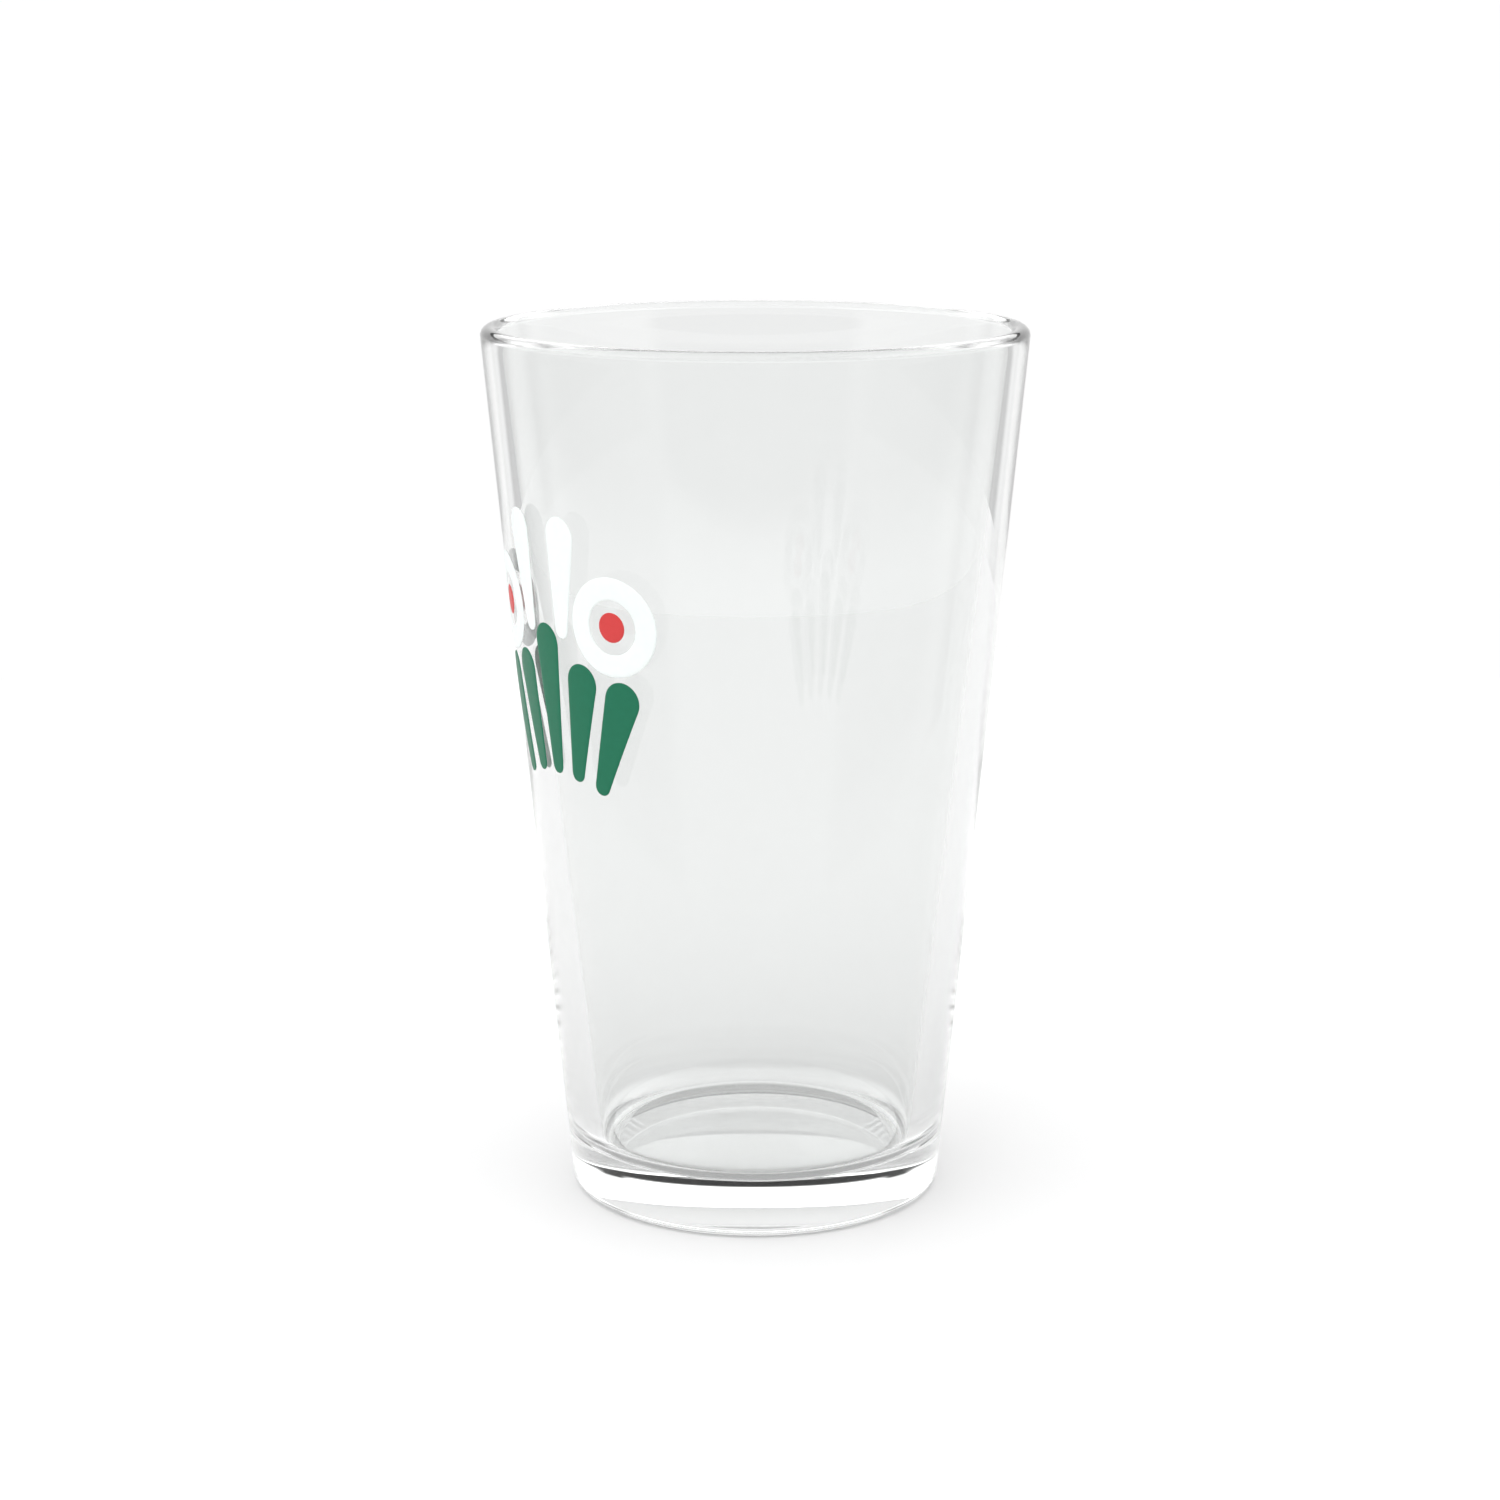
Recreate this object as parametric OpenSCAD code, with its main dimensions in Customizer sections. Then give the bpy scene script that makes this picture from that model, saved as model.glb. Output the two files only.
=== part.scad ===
// Straight-sided conical pint glass with a printed fan of petals in three ink colours.
// Millimetres. The origin is the middle of the foot on the table, +Z is up,
// and the middle of the print faces -Y.

/* [Glass] */
// Height from the table to the top of the rim
height = 145; // [120:1:180]
// Outside diameter of the straight wall, carried up to the top of the rim
mouth_d = 89.1; // [80:0.1:100]
// Outside diameter of the straight wall, carried down to the table
foot_d = 61.9; // [54:0.1:72]
// Wall thickness, measured level, at the top of the rim
rim_wall = 3.1; // [2.4:0.1:4.5]
// Wall thickness, measured level and carried down to the table
foot_wall = 5.6; // [4:0.1:7]
// Thickness of the solid base under the inside floor
base_thick = 8.4; // [6:0.1:16]
// Radius between the inside wall and the inside floor
corner_r = 4; // [2:0.1:8]
// Radius of the heel between the outside wall and the underside
heel_r = 2; // [0.8:0.1:3]

/* [Underside] */
// Width of the flat ring that the glass stands on
stand_ring = 3; // [1.5:0.1:6]
// Height of the hollow under the middle of the base
hollow_h = 0.8; // [0.3:0.1:2]

/* [Print] */
// Height above the table of the point that the whole print spreads from
print_z = 43; // [30:0.5:58]
// Thickness of the ink
ink = 0.15; // [0.1:0.05:0.4]
// Angle between neighbouring petals of one row
petal_step = 9.5; // [9:0.1:10.5]
// Distance from the spreading point to the foot of each green petal
green_start = 34; // [32:0.5:36]
// Distance from the spreading point to the outer end of the middle green petal
green_end = 54; // [51:0.5:54.5]
// How much nearer the other green petals end
green_drop = 4.8; // [3.5:0.1:7]
// Distance from the spreading point to the foot of each white petal
white_start = 57; // [56.5:0.5:60]
// Distance from the spreading point to the outer end of each white petal
white_end = 72; // [68:0.5:78]
// Radius of the foot end of a petal
petal_foot_r = 1.5; // [0.8:0.1:1.6]
// Radius of the outer end of a petal
petal_tip_r = 3.2; // [2.2:0.1:3.4]
// Distance from the spreading point to the middle of each white ring
ring_reach = 60.5; // [60:0.5:64]
// Lean of the middle of each white ring away from upright
ring_lean = 15; // [14.8:0.1:18]
// Outside diameter of a white ring
ring_d = 16; // [12:0.2:16.4]
// Width of the line of a white ring
ring_line = 3.6; // [2:0.1:4.6]
// Diameter of a red berry
berry_d = 4.8; // [2:0.1:6]

/* [Hidden] */
$fn = 96;

glass_colour = [0.85, 0.9, 0.89, 0.4];
white_ink_colour = [0.97, 0.98, 0.98];
green_ink_colour = [0.2, 0.5, 0.38];
red_ink_colour = [0.9, 0.33, 0.33];

outer_slope = (mouth_d - foot_d) / 2 / height;
inner_slope = outer_slope + (foot_wall - rim_wall) / height;
outer_tilt = atan(outer_slope);
inner_tilt = atan(inner_slope);

// Outside and inside radius of the straight wall at height z
function outer_r(z) = foot_d / 2 + outer_slope * z;
function inner_r(z) = foot_d / 2 - foot_wall + inner_slope * z;

// The rim is one full round between the two walls, the heel a quarter round
lip_r = rim_wall * cos(outer_tilt) / 2;
lip_x = outer_r(height - lip_r) - lip_r / cos(outer_tilt);
lip_z = height - lip_r;
heel_x = outer_r(heel_r) - heel_r / cos(outer_tilt);
corner_z = base_thick + corner_r;
corner_x = inner_r(corner_z) - corner_r / cos(inner_tilt);

// The hollow is the cap of a large ball that meets the inner edge of the ring
hollow_edge = heel_x - stand_ring;
ball_r = (hollow_edge * hollow_edge + hollow_h * hollow_h) / (2 * hollow_h);

// Lean of each petal: the white ones stand over the gaps beside the middle green one
green_leans = [for (i = [-2:2]) i * petal_step];
white_leans = [for (i = [-0.5, 0.5]) i * petal_step];
ring_leans = [-ring_lean, ring_lean];

// Half length of the prisms that cut the print out of the sleeve
wall_reach = 8;
// Straight steps in each round end of a petal
end_steps = 12;

// Point on a circle in the section, at angle a from the outward direction
function on_circle(x, z, r, a) = [x + r * cos(a), z + r * sin(a)];

module outside_section() {
    heel_top = on_circle(heel_x, heel_r, heel_r, -outer_tilt);
    lip_start = on_circle(lip_x, lip_z, lip_r, -outer_tilt);
    polygon([[0, 0], [heel_x, 0], [heel_x, heel_r], heel_top, lip_start,
             [lip_x, lip_z], [0, lip_z]]);
    translate([heel_x, heel_r]) circle(heel_r);
    translate([lip_x, lip_z]) circle(lip_r);
}

module inside_section() {
    corner_top = on_circle(corner_x, corner_z, corner_r, -inner_tilt);
    lip_end = on_circle(lip_x, lip_z, lip_r, 180 - inner_tilt);
    above = height + 10;
    polygon([[0, base_thick], [corner_x, base_thick], [corner_x, corner_z], corner_top,
             lip_end, [lip_x - lip_r, above], [0, above]]);
    translate([corner_x, corner_z]) circle(corner_r);
}

module glass_body() {
    color(glass_colour)
    difference() {
        rotate_extrude() difference() {
            outside_section();
            inside_section();
        }
        translate([0, 0, hollow_h - ball_r]) sphere(ball_r);
    }
}

// Sleeve of ink thickness on the outside wall, over the height of the print
module ink_sleeve() {
    low = print_z + green_start / 2;
    high = print_z + white_end + 2 * petal_tip_r;
    rotate_extrude() polygon([[outer_r(low), low], [outer_r(low) + ink, low],
                              [outer_r(high) + ink, high], [outer_r(high), high]]);
}

// Carries a flat shape to the wall, at a distance and a lean from the spreading point
module on_wall(reach, lean) {
    z = print_z + reach * cos(lean);
    r = outer_r(z);
    rotate([0, 0, reach * sin(lean) / r * 180 / PI])
        translate([0, -r, z])
            rotate([90, 0, 0])
                linear_extrude(2 * wall_reach, center = true) children();
}

// Round-ended petal that widens from its foot to its outer end
module petal(len) {
    flare = asin((petal_tip_r - petal_foot_r) / len);
    tip_turn = (180 + 2 * flare) / end_steps;
    foot_turn = (180 - 2 * flare) / end_steps;
    polygon([
        for (i = [0:end_steps]) on_circle(0, len, petal_tip_r, i * tip_turn - flare),
        for (i = [0:end_steps]) on_circle(0, 0, petal_foot_r, 180 + flare + i * foot_turn),
    ]);
}

// One petal of the fan, from start to end along its lean
module fan_petal(lean, start, end) {
    on_wall((start + end) / 2, lean)
        rotate([0, 0, -lean]) translate([0, (start - end) / 2]) petal(end - start);
}

module ring() {
    difference() {
        circle(d = ring_d);
        circle(d = ring_d - 2 * ring_line);
    }
}

module ink_white() {
    color(white_ink_colour) intersection() {
        ink_sleeve();
        union() {
            for (lean = ring_leans) on_wall(ring_reach, lean) ring();
            for (lean = white_leans) fan_petal(lean, white_start, white_end);
        }
    }
}

module ink_green() {
    color(green_ink_colour) intersection() {
        ink_sleeve();
        for (lean = green_leans)
            fan_petal(lean, green_start, lean == 0 ? green_end : green_end - green_drop);
    }
}

module ink_red() {
    color(red_ink_colour) intersection() {
        ink_sleeve();
        for (lean = ring_leans) on_wall(ring_reach, lean) circle(d = berry_d);
    }
}

glass_body();
ink_white();
ink_green();
ink_red();
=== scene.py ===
import math

import bmesh
import bpy
from mathutils import Euler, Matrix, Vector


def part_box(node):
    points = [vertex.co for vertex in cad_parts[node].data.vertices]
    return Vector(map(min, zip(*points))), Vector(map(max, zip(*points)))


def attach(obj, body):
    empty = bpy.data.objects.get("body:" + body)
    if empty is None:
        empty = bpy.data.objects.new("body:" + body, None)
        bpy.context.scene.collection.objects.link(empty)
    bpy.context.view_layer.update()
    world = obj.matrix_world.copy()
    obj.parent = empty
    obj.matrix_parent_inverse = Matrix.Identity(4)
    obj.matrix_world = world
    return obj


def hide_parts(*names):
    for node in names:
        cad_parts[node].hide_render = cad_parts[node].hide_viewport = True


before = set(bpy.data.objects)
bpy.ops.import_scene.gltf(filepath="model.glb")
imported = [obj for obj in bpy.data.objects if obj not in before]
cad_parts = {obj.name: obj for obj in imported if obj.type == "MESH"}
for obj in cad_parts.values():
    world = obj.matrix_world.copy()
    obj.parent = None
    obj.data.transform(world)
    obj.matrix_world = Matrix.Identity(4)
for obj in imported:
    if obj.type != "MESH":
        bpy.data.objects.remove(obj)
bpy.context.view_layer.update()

MM = 0.001

# ---------------------------------------------------------------- glass, as in the CAD
_, glass_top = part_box("glass_body")
HEIGHT = glass_top.z
MOUTH_R = 44.55 * MM        # straight outside wall, carried up to the top of the rim
FOOT_R = 30.95 * MM         # straight outside wall, carried down to the table
RIM_WALL = 3.1 * MM
FOOT_WALL = 5.6 * MM
BASE_THICK = 8.4 * MM
CORNER_R = 4.0 * MM
HEEL_R = 2.0 * MM
STAND_RING = 3.0 * MM
HOLLOW_H = 0.8 * MM

OUTER_SLOPE = (MOUTH_R - FOOT_R) / HEIGHT
INNER_SLOPE = OUTER_SLOPE + (FOOT_WALL - RIM_WALL) / HEIGHT
OUTER_TILT = math.atan(OUTER_SLOPE)
INNER_TILT = math.atan(INNER_SLOPE)
LIP_R = RIM_WALL * math.cos(OUTER_TILT) / 2

# ---------------------------------------------------------------- print, as in the CAD
PRINT_Z = 43 * MM           # the whole print spreads from the point of the wall at this height
PETAL_STEP = math.radians(9.5)
GREEN_START = 34 * MM
GREEN_END = 54 * MM
GREEN_DROP = 4.8 * MM
WHITE_START = 57 * MM
WHITE_END = 72 * MM
PETAL_FOOT_R = 1.5 * MM
PETAL_TIP_R = 3.2 * MM
RING_REACH = 60.5 * MM
RING_LEAN = math.radians(15)
RING_R = 8.0 * MM
RING_LINE = 3.6 * MM
BERRY_R = 2.4 * MM
INK_TOP = 0.13 * MM         # height of the ink above the glass
INK_ROOT = 0.012 * MM       # back of the ink, a hair off the glass so that light reaches it
INK_SQUARE = 8              # how squarely the ink falls off at its edge
STROKE_LEAST = 0.01 * MM    # half width that a stroke keeps at its very ends

# ---------------------------------------------------------------- mesh fineness
AROUND = 384
WALL_RINGS = 90
ARC_STEPS = 20
HOLLOW_STEPS = 40
STAND_STEPS = 4
INNER_FLOOR_STEPS = 40
PETAL_ALONG = 64
STROKE_ACROSS = 14
RING_AROUND = 128
BERRY_AROUND = 96
BERRY_ACROSS = 10

# ---------------------------------------------------------------- looks of glass and ink
GLASS_TINT = (0.928, 0.936, 0.932)
GLASS_IOR = 1.52
WORN_DEPTH = 0.05 * MM      # the ring that the glass stands on is worn matt up to this height
WORN_ROUGH = (0.1, 0.3)
WORN_GRAIN = 1500           # scales of the noises, per metre
MOTTLE_GRAIN = 900
GLOSS_GRAIN = 1800
BUMP_GRAIN = 4000
INK_MOTTLE = (0.2, 1.3)     # share of the full ink colour
INK_ROUGH = (0.28, 0.5)
INK_SPECULAR = 0.15
INK_BUMP = 0.15
INK_BUMP_HEIGHT = 0.05 * MM
# each ink's colour, full and weak
WHITE_INK = ((0.89, 0.93, 0.92), (0.84, 0.89, 0.88))
GREEN_INK = ((0.017, 0.165, 0.090), (0.014, 0.145, 0.078))
RED_INK = ((0.66, 0.064, 0.064), (0.61, 0.056, 0.056))

# ---------------------------------------------------------------- camera
LENS = 77.81
SENSOR = 36.0
CLIP_NEAR, CLIP_FAR = 0.01, 50
CAMERA_DISTANCE = 526.1 * MM
CAMERA_HEIGHT = 195.6 * MM
CAMERA_PITCH = math.radians(12.985)
CAMERA_SHIFT_X = -0.0035
CAMERA_AZIMUTH = math.radians(55.5)     # turned from -Y towards +X
BOUNCES = 128               # light that the wall guides up to the rim needs many

# ---------------------------------------------------------------- floor and studio
FLOOR_R = 0.47
FLOOR_DROP = 0.1 * MM
FLOOR_TONE = 0.55
FLOOR_GLOW = 0.17
FLOOR_SHOWN = 0.34          # the same glow where the camera looks straight at the floor
PAINTED_FOOT_LIGHT = 0.28            # painted light: floor glow standing in for the light that the glass gathers close around its foot
PAINTED_FOOT_LIGHT_R = 50 * MM       # where that painted light ends, and the width over which it fades
PAINTED_FOOT_LIGHT_FADE = 14 * MM
PAINTED_UNDER_LIGHT = 0.12           # the same painted light under the foot, and how far out that goes
UNDER_R = FOOT_R - 2 * MM
SEAMLESS = 1.01             # brightness of the seamless background
# brightness of the studio by elevation in degrees: behind the glass, beside it, and in front of it
BEHIND = [
    (-90, 1.04), (-11.2, 1.04), (-9.5, 0.98), (13.5, 0.98), (13.8, 0.02), (16.2, 0.02),
    (16.6, 2.4), (36, 2.4), (39, 0.4), (90, 0.4),
]
BESIDE = [
    (-90, 0.55), (0, 0.55), (2, 0.8), (11, 1), (11.4, 0.02), (16.8, 0.02),
    (17.2, 1.2), (40, 1.2), (60, 0.6), (90, 0.6),
]
FACING = [(-90, 1.0), (2.3, 1.0), (2.8, 0.12), (60, 0.12), (90, 0.6)]
# share of "behind" and of "in front" by how far a direction points away from the photograph's side
BACK_SHARE = [(0.3, 0.3), (0.5, 0.8), (0.62, 0.8), (0.7, 0), (0.785, 0), (0.825, 1)]
FRONT_SHARE = [(-0.7, 1), (-0.6, 0)]
# each sun's strength, and in degrees its width, its lean from straight down and where it shines
KEY_SUN = (2.2, 70, 15, 130)
FILL_SUN = (0.6, 20, 85, 120)


# ---------------------------------------------------------------- glass shape
def outer_r(z):
    return FOOT_R + OUTER_SLOPE * z


def inner_r(z):
    return FOOT_R - FOOT_WALL + INNER_SLOPE * z


def arc(centre_r, centre_z, radius, start, end, steps=ARC_STEPS):
    """Points (r, z) on a circle of the section, angles in radians from the outward direction."""
    turn = (end - start) / steps
    angles = [start + i * turn for i in range(steps + 1)]
    return [(centre_r + radius * math.cos(a), centre_z + radius * math.sin(a)) for a in angles]


def between(first, last, steps):
    """Points strictly between two section points, evenly spaced."""
    return [
        tuple(a + (b - a) * i / steps for a, b in zip(first, last))
        for i in range(1, steps)
    ]


def glass_section():
    """The section from the middle of the underside, out and up, over the rim, and down inside."""
    heel_r = outer_r(HEEL_R) - HEEL_R / math.cos(OUTER_TILT)
    hollow_edge = heel_r - STAND_RING
    ball_r = (hollow_edge ** 2 + HOLLOW_H ** 2) / (2 * HOLLOW_H)
    edge_angle = math.acos(hollow_edge / ball_r)
    hollow = arc(0, HOLLOW_H - ball_r, ball_r, math.pi / 2, edge_angle, HOLLOW_STEPS)
    stand = between(hollow[-1], (heel_r, 0), STAND_STEPS)
    heel = arc(heel_r, HEEL_R, HEEL_R, -math.pi / 2, -OUTER_TILT)
    lip_z = HEIGHT - LIP_R
    lip_r = outer_r(lip_z) - LIP_R / math.cos(OUTER_TILT)
    lip = arc(lip_r, lip_z, LIP_R, -OUTER_TILT, math.pi - INNER_TILT, 2 * ARC_STEPS)
    outside = between(heel[-1], lip[0], WALL_RINGS)
    corner_z = BASE_THICK + CORNER_R
    corner_r = inner_r(corner_z) - CORNER_R / math.cos(INNER_TILT)
    corner = arc(corner_r, corner_z, CORNER_R, -INNER_TILT, -math.pi / 2)
    inside = between(lip[-1], corner[0], WALL_RINGS)
    middle = (0, BASE_THICK)
    inner_floor = between(corner[-1], middle, INNER_FLOOR_STEPS) + [middle]
    return hollow + stand + heel + outside + lip + inside + corner + inner_floor


def new_object(name, data):
    thing = bpy.data.objects.new(name, data)
    bpy.context.scene.collection.objects.link(thing)
    return thing


def mesh_piece(name, build):
    """A smooth-shaded object whose mesh is filled in by build(bm)."""
    bm = bmesh.new()
    build(bm)
    bmesh.ops.recalc_face_normals(bm, faces=bm.faces)
    for face in bm.faces:
        face.smooth = True
    data = bpy.data.meshes.new(name)
    bm.to_mesh(data)
    bm.free()
    return new_object(name, data)


def lathe(bm, section):
    """Turns a section that starts and ends on the axis into a closed solid."""
    bottom = bm.verts.new((0, 0, section[0][1]))
    top = bm.verts.new((0, 0, section[-1][1]))
    rings = []
    for r, z in section[1:-1]:
        ring = []
        for i in range(AROUND):
            a = 2 * math.pi * i / AROUND
            ring.append(bm.verts.new((r * math.cos(a), r * math.sin(a), z)))
        rings.append(ring)
    for i in range(AROUND):
        j = (i + 1) % AROUND
        bm.faces.new((bottom, rings[0][i], rings[0][j]))
        bm.faces.new((top, rings[-1][j], rings[-1][i]))
        for low, high in zip(rings, rings[1:]):
            bm.faces.new((low[i], low[j], high[j], high[i]))


def build_glass(bm):
    lathe(bm, glass_section())


# ---------------------------------------------------------------- ink shapes
def on_wall(reach, lean, x, y, lift):
    """Point (x, y) of a flat shape whose middle is at a reach and a lean from the spreading point."""
    middle_z = PRINT_Z + reach * math.cos(lean)
    z = middle_z + y
    r = outer_r(z)
    a = reach * math.sin(lean) / outer_r(middle_z) + math.asin(x / r)
    r += lift
    return (r * math.sin(a), -r * math.cos(a), z)


def ink_height(edge):
    """Lift of the ink where edge runs from 0 at the middle of a stroke to 1 at its rim."""
    return INK_TOP * (1 - min(1.0, abs(edge)) ** INK_SQUARE) ** 0.5


def ink_patch(bm, reach, lean, spots, closed):
    """Closed film of ink over rows of spots (x, y, edge); where closed, the last row joins the first."""
    def film(row, height):
        return [bm.verts.new(on_wall(reach, lean, x, y, height(edge))) for x, y, edge in row]

    tops = [film(row, ink_height) for row in spots]
    roots = [film(row, lambda edge: INK_ROOT) for row in spots]
    rows, cols = len(spots), len(spots[0])
    for i in range(rows if closed else rows - 1):
        n = (i + 1) % rows
        for j in range(cols - 1):
            bm.faces.new((tops[i][j], tops[i][j + 1], tops[n][j + 1], tops[n][j]))
            bm.faces.new((roots[i][j], roots[n][j], roots[n][j + 1], roots[i][j + 1]))
        bm.faces.new((tops[i][0], tops[n][0], roots[n][0], roots[i][0]))
        bm.faces.new((tops[i][-1], roots[i][-1], roots[n][-1], tops[n][-1]))
    if not closed:
        for j in range(cols - 1):
            bm.faces.new((tops[0][j], roots[0][j], roots[0][j + 1], tops[0][j + 1]))
            bm.faces.new((tops[-1][j], tops[-1][j + 1], roots[-1][j + 1], roots[-1][j]))


def petal_half_width(t, length):
    """Half width of a petal at distance t above the middle of its foot end."""
    flare = math.asin((PETAL_TIP_R - PETAL_FOOT_R) / length)
    foot_y = -PETAL_FOOT_R * math.sin(flare)
    tip_y = length - PETAL_TIP_R * math.sin(flare)
    if t < foot_y:
        return math.sqrt(max(0.0, PETAL_FOOT_R ** 2 - t ** 2))
    if t > tip_y:
        return math.sqrt(max(0.0, PETAL_TIP_R ** 2 - (t - length) ** 2))
    share = (t - foot_y) / (tip_y - foot_y)
    return (PETAL_FOOT_R + (PETAL_TIP_R - PETAL_FOOT_R) * share) * math.cos(flare)


def across_stroke():
    """Places across a stroke from -1 to 1, crowded towards its two edges."""
    return [math.sin(math.pi * (j / STROKE_ACROSS - 0.5)) for j in range(STROKE_ACROSS + 1)]


def petal_rows(length):
    """Rows (t, x, edge) along a petal, crowded towards its two ends."""
    low, high = -PETAL_FOOT_R, length + PETAL_TIP_R
    for i in range(PETAL_ALONG + 1):
        t = low + (high - low) * (0.5 - 0.5 * math.cos(math.pi * i / PETAL_ALONG))
        half = max(petal_half_width(t, length), STROKE_LEAST)
        end_edge = 1 - min(t - low, high - t) / PETAL_FOOT_R
        yield [(t, side * half, max(abs(side), end_edge)) for side in across_stroke()]


def add_petal(bm, lean, start, end):
    """One petal of the fan, from start to end along its lean."""
    length = end - start
    spots = []
    for row in petal_rows(length):
        turned = []
        for t, x, edge in row:
            y = t - length / 2
            turned.append((x * math.cos(lean) + y * math.sin(lean),
                           y * math.cos(lean) - x * math.sin(lean), edge))
        spots.append(turned)
    ink_patch(bm, (start + end) / 2, lean, spots, closed=False)


def add_ring(bm, lean):
    """White ring around a berry."""
    spots = []
    for i in range(RING_AROUND):
        a = -2 * math.pi * i / RING_AROUND
        row = []
        for side in across_stroke():
            r = RING_R - RING_LINE / 2 + side * RING_LINE / 2
            row.append((r * math.cos(a), r * math.sin(a), abs(side)))
        spots.append(row)
    ink_patch(bm, RING_REACH, lean, spots, closed=True)


def add_berry(bm, lean):
    """Red dot in the middle of a ring."""
    def spot(x, y, lift):
        return bm.verts.new(on_wall(RING_REACH, lean, x, y, lift))

    def circle(share, lift):
        r = BERRY_R * share
        angles = [2 * math.pi * i / BERRY_AROUND for i in range(BERRY_AROUND)]
        return [spot(r * math.cos(a), r * math.sin(a), lift) for a in angles]

    shares = [math.sin(math.pi / 2 * k / BERRY_ACROSS) for k in range(1, BERRY_ACROSS + 1)]
    tops = [circle(share, ink_height(share)) for share in shares]
    roots = [circle(share, INK_ROOT) for share in shares]
    top = spot(0, 0, ink_height(0))
    root = spot(0, 0, INK_ROOT)
    for i in range(BERRY_AROUND):
        j = (i + 1) % BERRY_AROUND
        bm.faces.new((top, tops[0][i], tops[0][j]))
        bm.faces.new((root, roots[0][j], roots[0][i]))
        for k in range(BERRY_ACROSS - 1):
            bm.faces.new((tops[k][i], tops[k + 1][i], tops[k + 1][j], tops[k][j]))
            bm.faces.new((roots[k][i], roots[k][j], roots[k + 1][j], roots[k + 1][i]))
        bm.faces.new((tops[-1][i], roots[-1][i], roots[-1][j], tops[-1][j]))


def build_white(bm):
    for side in (-1, 1):
        add_ring(bm, side * RING_LEAN)
        add_petal(bm, side * PETAL_STEP / 2, WHITE_START, WHITE_END)


def build_green(bm):
    for i in range(-2, 3):
        add_petal(bm, i * PETAL_STEP, GREEN_START, GREEN_END if i == 0 else GREEN_END - GREEN_DROP)


def build_red(bm):
    for side in (-1, 1):
        add_berry(bm, side * RING_LEAN)


# ---------------------------------------------------------------- nodes
def node_material(name):
    material = bpy.data.materials.new(name)
    material.use_nodes = True
    tree = material.node_tree
    return material, tree, tree.nodes["Principled BSDF"]


def object_place(tree):
    """The object's own coordinates, in metres."""
    return tree.nodes.new("ShaderNodeTexCoord").outputs["Object"]


def noise(tree, scale, detail=2.0):
    texture = tree.nodes.new("ShaderNodeTexNoise")
    texture.inputs["Scale"].default_value = scale
    texture.inputs["Detail"].default_value = detail
    tree.links.new(object_place(tree), texture.inputs["Vector"])
    return texture.outputs["Fac"]


def remap(tree, value, low, high, first=0.0, last=1.0):
    """Turns a value that runs from first to last into one from low to high."""
    spread = tree.nodes.new("ShaderNodeMapRange")
    spread.inputs["From Min"].default_value = first
    spread.inputs["From Max"].default_value = last
    spread.inputs["To Min"].default_value = low
    spread.inputs["To Max"].default_value = high
    tree.links.new(value, spread.inputs["Value"])
    return spread.outputs["Result"]


def maths(tree, operation, first, second):
    """Math node on an output and a second output or fixed number."""
    node = tree.nodes.new("ShaderNodeMath")
    node.operation = operation
    tree.links.new(first, node.inputs[0])
    if isinstance(second, float):
        node.inputs[1].default_value = second
    else:
        tree.links.new(second, node.inputs[1])
    return node.outputs["Value"]


# ---------------------------------------------------------------- materials
def glass_material():
    """Clear glass, worn matt where it stands."""
    material, tree, shader = node_material("clear_glass")
    shader.inputs["Base Color"].default_value = (*GLASS_TINT, 1)
    shader.inputs["Transmission Weight"].default_value = 1.0
    shader.inputs["IOR"].default_value = GLASS_IOR
    split = tree.nodes.new("ShaderNodeSeparateXYZ")
    tree.links.new(object_place(tree), split.inputs["Vector"])
    foot = maths(tree, "LESS_THAN", split.outputs["Z"], WORN_DEPTH)
    worn = remap(tree, noise(tree, WORN_GRAIN, 3), *WORN_ROUGH)
    tree.links.new(maths(tree, "MULTIPLY", foot, worn), shader.inputs["Roughness"])
    return material


def ink_material(name, colour, weak_colour):
    """Cured ink: a little mottled, slightly glossy, with a fine grain."""
    material, tree, shader = node_material(name)
    shader.inputs["Specular IOR Level"].default_value = INK_SPECULAR
    mix = tree.nodes.new("ShaderNodeMix")
    mix.data_type = "RGBA"
    mix.inputs["A"].default_value = (*weak_colour, 1)
    mix.inputs["B"].default_value = (*colour, 1)
    tree.links.new(remap(tree, noise(tree, MOTTLE_GRAIN, 3), *INK_MOTTLE), mix.inputs["Factor"])
    tree.links.new(mix.outputs["Result"], shader.inputs["Base Color"])
    tree.links.new(remap(tree, noise(tree, GLOSS_GRAIN), *INK_ROUGH), shader.inputs["Roughness"])
    bump = tree.nodes.new("ShaderNodeBump")
    bump.inputs["Strength"].default_value = INK_BUMP
    bump.inputs["Distance"].default_value = INK_BUMP_HEIGHT
    tree.links.new(noise(tree, BUMP_GRAIN), bump.inputs["Height"])
    tree.links.new(bump.outputs["Normal"], shader.inputs["Normal"])
    return material


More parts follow.
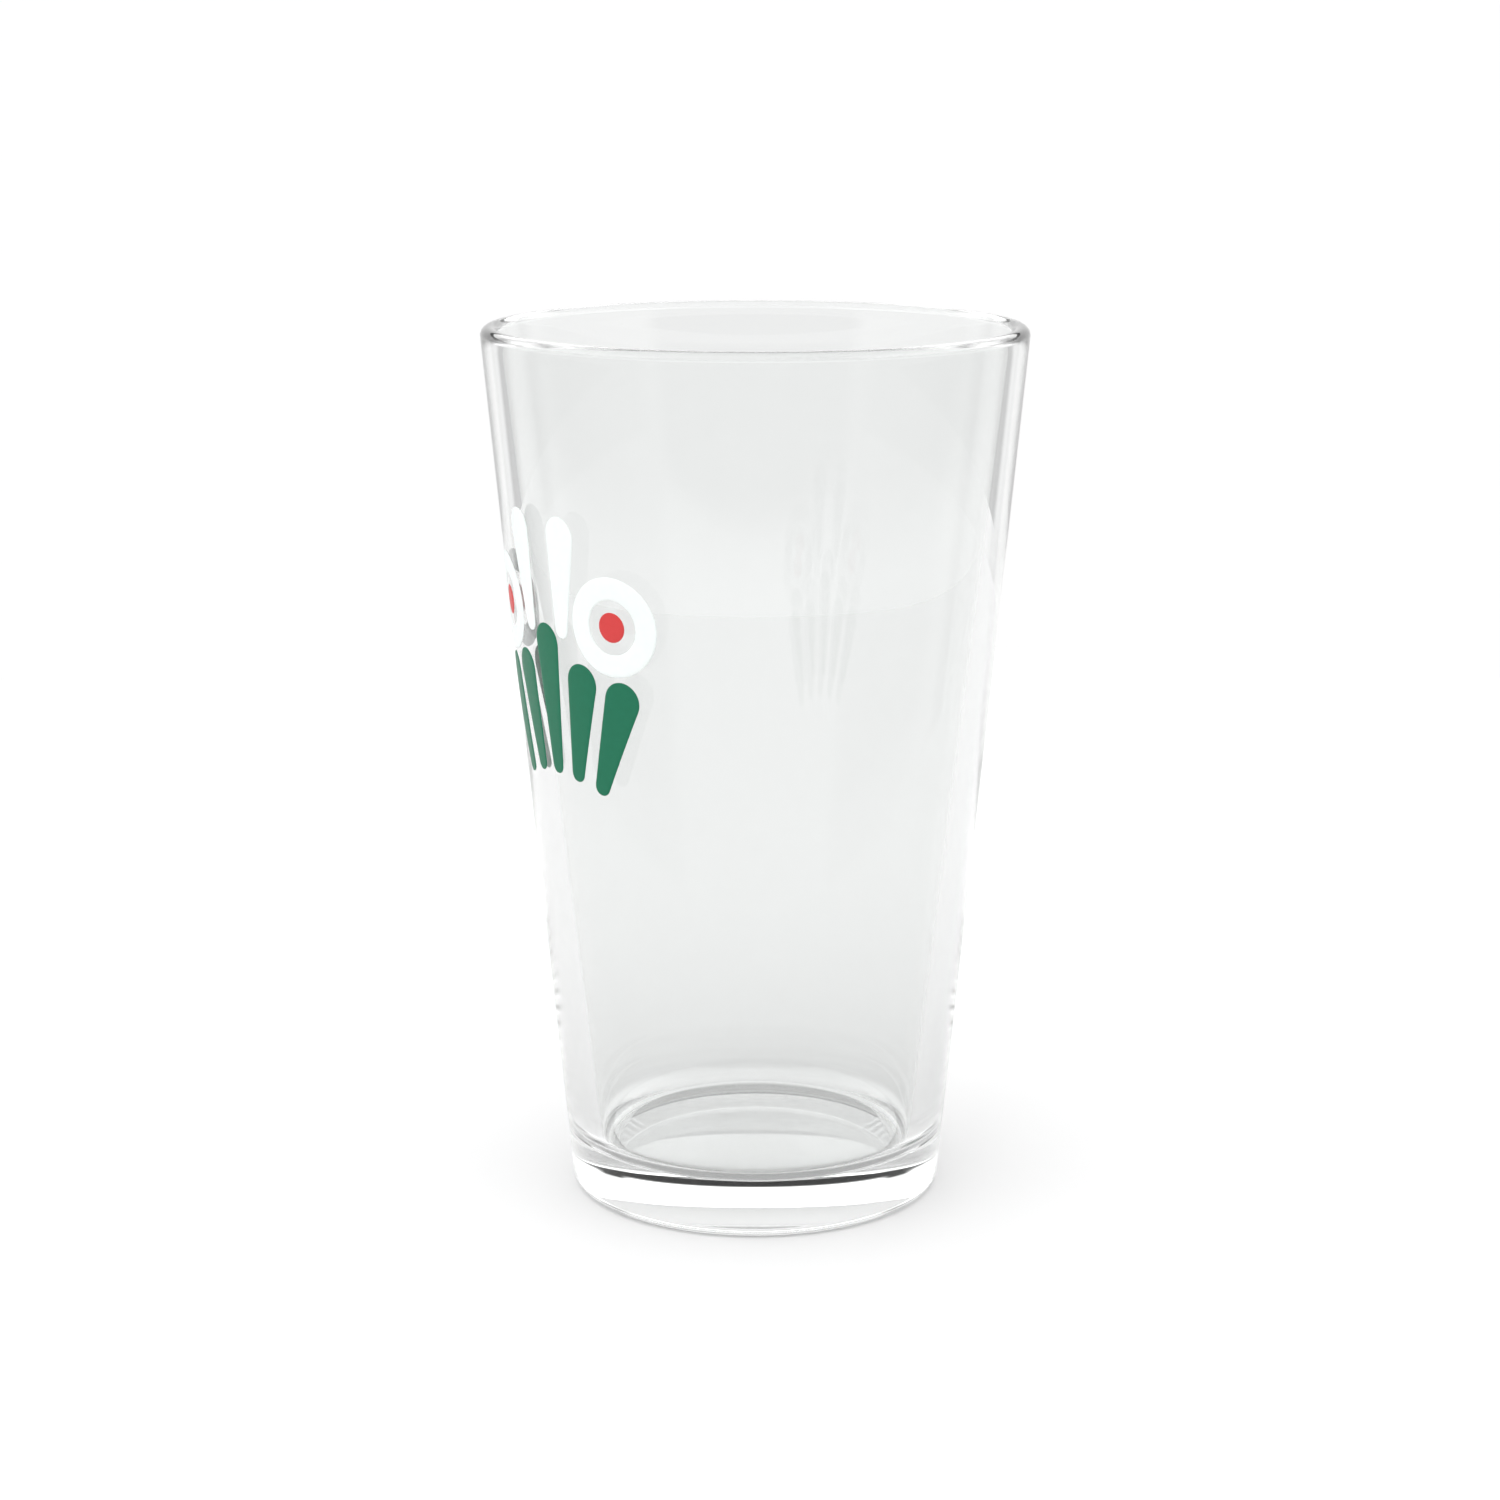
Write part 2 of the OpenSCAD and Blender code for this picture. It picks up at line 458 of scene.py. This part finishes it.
def floor_material():
    """Pale matt floor with a glow of its own, and painted light at the foot of the glass, standing in
    for the light that the glass gathers there.
    """
    material, tree, shader = node_material("pale_floor")
    shader.inputs["Base Color"].default_value = (FLOOR_TONE, FLOOR_TONE, FLOOR_TONE, 1)
    shader.inputs["Roughness"].default_value = 1.0
    shader.inputs["Specular IOR Level"].default_value = 0.0
    shader.inputs["Emission Color"].default_value = (1, 1, 1, 1)
    seen = tree.nodes.new("ShaderNodeLightPath").outputs["Is Camera Ray"]
    length = tree.nodes.new("ShaderNodeVectorMath")
    length.operation = "LENGTH"
    tree.links.new(object_place(tree), length.inputs[0])
    away = length.outputs["Value"]
    # painted light: glow on the floor around the foot and a weaker one under it, seen only by rays that
    # are not camera rays
    near = remap(tree, away, PAINTED_FOOT_LIGHT, 0.0, PAINTED_FOOT_LIGHT_R - PAINTED_FOOT_LIGHT_FADE, PAINTED_FOOT_LIGHT_R)
    beyond_foot = maths(tree, "GREATER_THAN", away, UNDER_R)
    painted_light = maths(tree, "MULTIPLY", near, remap(tree, beyond_foot, PAINTED_UNDER_LIGHT / PAINTED_FOOT_LIGHT, 1))
    painted_light = maths(tree, "MULTIPLY", painted_light, remap(tree, seen, 1, 0))
    glow = remap(tree, seen, FLOOR_GLOW, FLOOR_SHOWN)
    tree.links.new(maths(tree, "ADD", glow, painted_light), shader.inputs["Emission Strength"])
    return material


# ---------------------------------------------------------------- pieces
def add_piece(name, build, material, node):
    piece = mesh_piece(name, build)
    piece.data.materials.append(material)
    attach(piece, "root")
    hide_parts(node)


add_piece("glass", build_glass, glass_material(), "glass_body")
add_piece("print_white", build_white, ink_material("white_ink", *WHITE_INK), "ink_white")
add_piece("print_green", build_green, ink_material("green_ink", *GREEN_INK), "ink_green")
add_piece("print_red", build_red, ink_material("red_ink", *RED_INK), "ink_red")


# ---------------------------------------------------------------- set, light and camera
def build_floor(bm):
    """Round table top."""
    bm.faces.new([
        bm.verts.new((FLOOR_R * math.cos(a), FLOOR_R * math.sin(a), -FLOOR_DROP))
        for a in (2 * math.pi * i / AROUND for i in range(AROUND))
    ])


floor = mesh_piece("floor", build_floor)
floor.data.materials.append(floor_material())


def fixed_dot(tree, vector, axis):
    """Component of a direction along a fixed axis."""
    dot = tree.nodes.new("ShaderNodeVectorMath")
    dot.operation = "DOT_PRODUCT"
    dot.inputs[1].default_value = axis
    tree.links.new(vector, dot.inputs[0])
    return dot.outputs["Value"]


def ramp(tree, value, stops):
    """Grey ramp through stops (sine from -1 to 1, brightness)."""
    node = tree.nodes.new("ShaderNodeValToRGB")
    elements = node.color_ramp.elements
    while len(elements) < len(stops):
        elements.new(1.0)
    for element, (sine, level) in zip(elements, stops):
        element.position = (sine + 1) / 2
        element.color = (level, level, level, 1)
    tree.links.new(remap(tree, value, 0, 1, first=-1), node.inputs["Fac"])
    return node.outputs["Color"]


def blend(tree, share, first, second):
    """Mixes two colour outputs or fixed greys."""
    mix = tree.nodes.new("ShaderNodeMix")
    mix.data_type = "RGBA"
    tree.links.new(share, mix.inputs["Factor"])
    for socket, value in (("A", first), ("B", second)):
        if isinstance(value, float):
            mix.inputs[socket].default_value = (value, value, value, 1)
        else:
            tree.links.new(value, mix.inputs[socket])
    return mix.outputs["Result"]


def by_elevation(stops):
    return [(math.sin(math.radians(angle)), level) for angle, level in stops]


def make_world():
    """Studio: seamless white for the camera; softboxes and dark gaps for everything else."""
    world = bpy.data.worlds.new("studio")
    world.use_nodes = True
    bpy.context.scene.world = world
    tree = world.node_tree
    direction = tree.nodes.new("ShaderNodeTexCoord").outputs["Generated"]
    up = fixed_dot(tree, direction, (0, 0, 1))
    back = fixed_dot(tree, direction, (-math.sin(CAMERA_AZIMUTH), math.cos(CAMERA_AZIMUTH), 0))
    behind = ramp(tree, up, by_elevation(BEHIND))
    facing = ramp(tree, up, by_elevation(FACING))
    beside = ramp(tree, up, by_elevation(BESIDE))
    studio = blend(tree, ramp(tree, back, BACK_SHARE), beside, behind)
    studio = blend(tree, ramp(tree, back, FRONT_SHARE), studio, facing)
    seen = tree.nodes.new("ShaderNodeLightPath").outputs["Is Camera Ray"]
    shown = blend(tree, seen, studio, SEAMLESS)
    tree.links.new(shown, tree.nodes["Background"].inputs["Color"])


def add_sun(name, strength, width, tilt, heading):
    """Sun that leans by tilt from straight down and shines towards heading; glass doesn't show it."""
    data = bpy.data.lights.new(name, "SUN")
    data.energy = strength
    data.angle = math.radians(width)
    lamp = new_object(name, data)
    lamp.rotation_euler = Euler((0, -math.radians(tilt), math.radians(heading)))
    lamp.visible_glossy = False
    lamp.visible_transmission = False


def add_camera():
    data = bpy.data.cameras.new("camera")
    data.lens = LENS
    data.sensor_width = SENSOR
    data.shift_x = CAMERA_SHIFT_X
    data.clip_start = CLIP_NEAR
    data.clip_end = CLIP_FAR
    camera = new_object("camera", data)
    camera.location = (CAMERA_DISTANCE * math.sin(CAMERA_AZIMUTH),
                       -CAMERA_DISTANCE * math.cos(CAMERA_AZIMUTH), CAMERA_HEIGHT)
    camera.rotation_euler = (math.pi / 2 - CAMERA_PITCH, 0, CAMERA_AZIMUTH)
    bpy.context.scene.camera = camera


make_world()
add_sun("key", *KEY_SUN)
add_sun("fill", *FILL_SUN)
add_camera()

scene = bpy.context.scene
scene.view_settings.view_transform = "Standard"
scene.cycles.max_bounces = BOUNCES
scene.cycles.transmission_bounces = BOUNCES
scene.cycles.glossy_bounces = BOUNCES
scene.cycles.use_denoising = True
